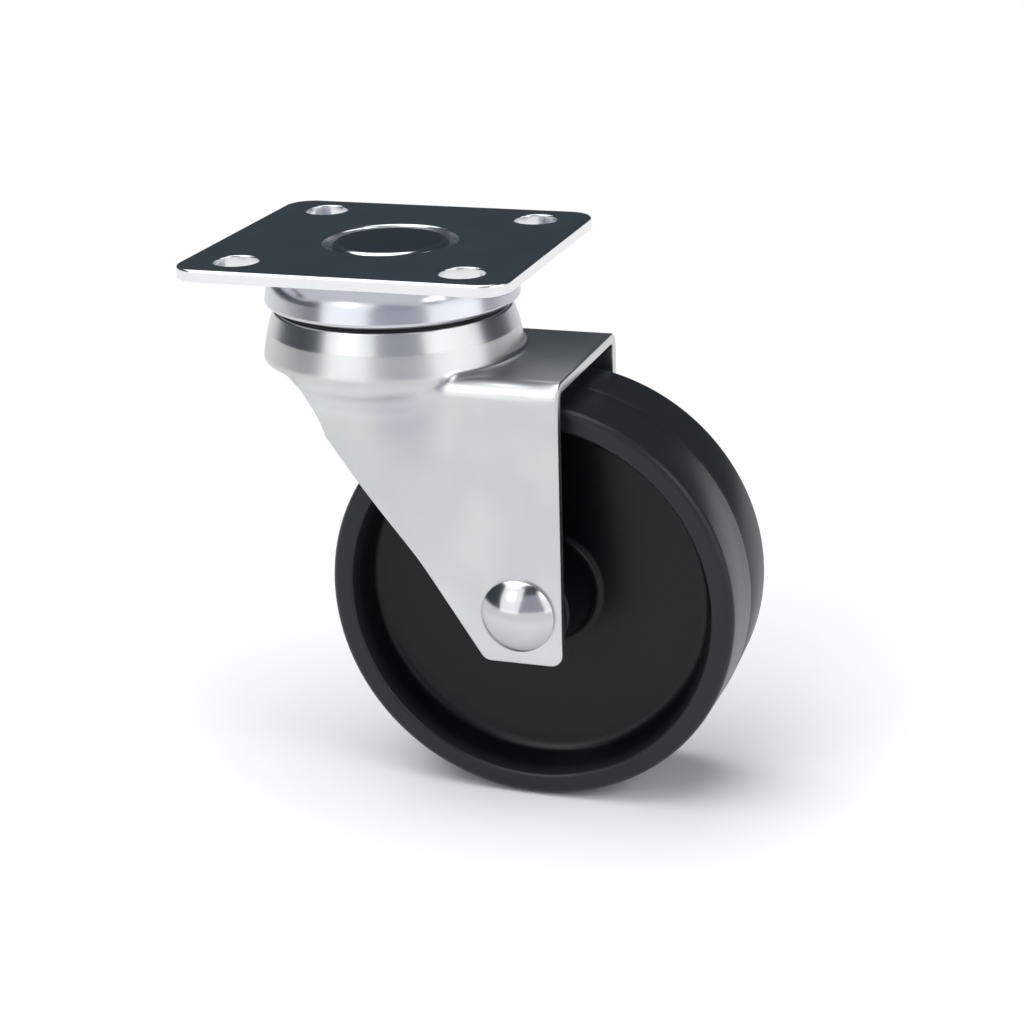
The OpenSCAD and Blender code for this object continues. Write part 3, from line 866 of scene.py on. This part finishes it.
plate_zinc().on(plate)
zinc("rivet_zinc", (0.52, 0.53, 0.55), (0.60, 0.60, 0.61), 0.17, purple=0.7).on(rivet)
bearing = zinc("bearing_steel", (0.5, 0.51, 0.53), (0.6, 0.61, 0.63), 0.22)
for name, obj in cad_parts.items():
    if name not in REPLACED:
        bearing.on(obj)
pin_zinc().on(pin)
zinc("cup_zinc", (0.54, 0.56, 0.61), (0.64, 0.66, 0.69), 0.235, purple=0.6).on(cup)
fork_zinc().on(fork)
black_plastic().on(wheel)


# ---------------------------------------------------------------- studio
FLOOR_HALF, FLOOR_NEAR, FLOOR_FAR = 8.0, 0.07, 0.2  # metres: half its width, and where it turns pure white
SKY_COLOUR, SKY_STRENGTH = (0.64, 0.82, 1.0), 0.08
LAMP_AIM_Z = -0.04


def studio_floor():
    """A wide white floor under the wheel, which turns to pure white away from the castor's shadow."""
    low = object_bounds()[0].z
    corners = [(x * FLOOR_HALF, y * FLOOR_HALF, low) for x, y in ((-1, -1), (1, -1), (1, 1), (-1, 1))]
    mesh = bpy.data.meshes.new("floor")
    mesh.from_pydata(corners, [], [(0, 1, 2, 3)])
    obj = bpy.data.objects.new("floor", mesh)
    bpy.context.scene.collection.objects.link(obj)
    paper = Finish("floor_paper", Base_Color=(0.94, 0.94, 0.94, 1), Roughness=1.0, Specular_IOR_Level=0.0)
    x, y, _ = paper.parts()
    away = ((x * x + y * y) ** 0.5).within(FLOOR_NEAR, FLOOR_FAR)
    path = paper.node("ShaderNodeLightPath", {}, {}).socket.node.outputs
    seen = sum(Value(paper, path[k]) for k in ("Is Camera Ray", "Is Glossy Ray", "Is Transmission Ray"))
    paper.over(away * seen)
    paper.on(obj)


def studio_world():
    """A faint blue light from all round."""
    world = bpy.data.worlds.new("studio")
    bpy.context.scene.world = world
    world.use_nodes = True
    background = world.node_tree.nodes["Background"].inputs
    background["Color"].default_value = SKY_COLOUR + (1,)
    background["Strength"].default_value = SKY_STRENGTH


def looking(azimuth, elevation):
    """Right, up and back for something that faces the castor; azimuth runs from -Y towards +X."""
    az, el = np.radians(azimuth), np.radians(elevation)
    back = np.array([np.sin(az) * np.cos(el), -np.cos(az) * np.cos(el), np.sin(el)])
    right = np.array([np.cos(az), np.sin(az), 0])
    return right, np.cross(back, right), back


def put(name, data, right, up, back, place):
    """A new object at a place in metres, with its axes along three directions."""
    obj = bpy.data.objects.new(name, data)
    turn = np.stack([right, up, back], 1)
    obj.matrix_world = Matrix([list(r) + [t] for r, t in zip(turn, place)] + [[0, 0, 0, 1]])
    bpy.context.scene.collection.objects.link(obj)
    return obj


def lamp(name, kind, azimuth, elevation, distance, **settings):
    """A lamp that faces the castor from a distance in metres."""
    right, up, back = looking(azimuth, elevation)
    data = bpy.data.lights.new(name, kind)
    for key, value in settings.items():
        setattr(data, key, value)
    put(name, data, right, up, back, back * distance + (0, 0, LAMP_AIM_Z))


def softbox(name, azimuth, elevation, distance, wide, high, radiance, color=(1, 1, 1)):
    """A rectangular lamp of a width and height in degrees, as the castor sees it."""
    size = 2 * distance * np.tan(np.radians([wide, high]) / 2)
    lamp(name, "AREA", azimuth, elevation, distance, shape="RECTANGLE", size=size[0], size_y=size[1],
         energy=radiance * np.pi * size[0] * size[1], color=color)


studio_floor()
studio_world()
lamp("overhead", "SUN", -80, 76, 2, energy=2.45, angle=np.radians(66))
softbox("left_box", -23, 24.5, 0.9, 46, 59, 1.35)
softbox("right_box", 78, 20.5, 0.9, 56, 51, 1.35)
softbox("left_core", -23, 30, 0.88, 14, 16, 3.6)
softbox("right_core", 64, 34, 0.88, 16, 16, 3.0)
softbox("middle_card", 25, 15.5, 0.95, 48, 41, 0.44, (0.88, 0.89, 1.0))

# ---------------------------------------------------------------- camera
AZIMUTH, ELEVATION, ROLL = 18.492, 19.783, -1.599
AIM_Z, AIM_RIGHT, AIM_UP, DISTANCE = -50, 20.101, -1.655, 425.11
SENSOR, LENS = 36.0, 81.2953125


def photo_camera():
    """The camera as it was fitted to the photo: its direction, roll, distance and lens, in millimetres."""
    level, up, back = looking(AZIMUTH, ELEVATION)
    place = np.array([0, 0, AIM_Z]) + level * AIM_RIGHT + up * AIM_UP + back * DISTANCE
    roll = np.radians(ROLL)
    right = level * np.cos(roll) + up * np.sin(roll)
    top = up * np.cos(roll) - level * np.sin(roll)
    data = bpy.data.cameras.new("photo_camera")
    data.sensor_width, data.lens = SENSOR, LENS
    data.clip_start, data.clip_end = 0.01, 50
    bpy.context.scene.camera = put("photo_camera", data, right, top, back, place * MM)


photo_camera()
bpy.context.scene.view_settings.view_transform = "Standard"
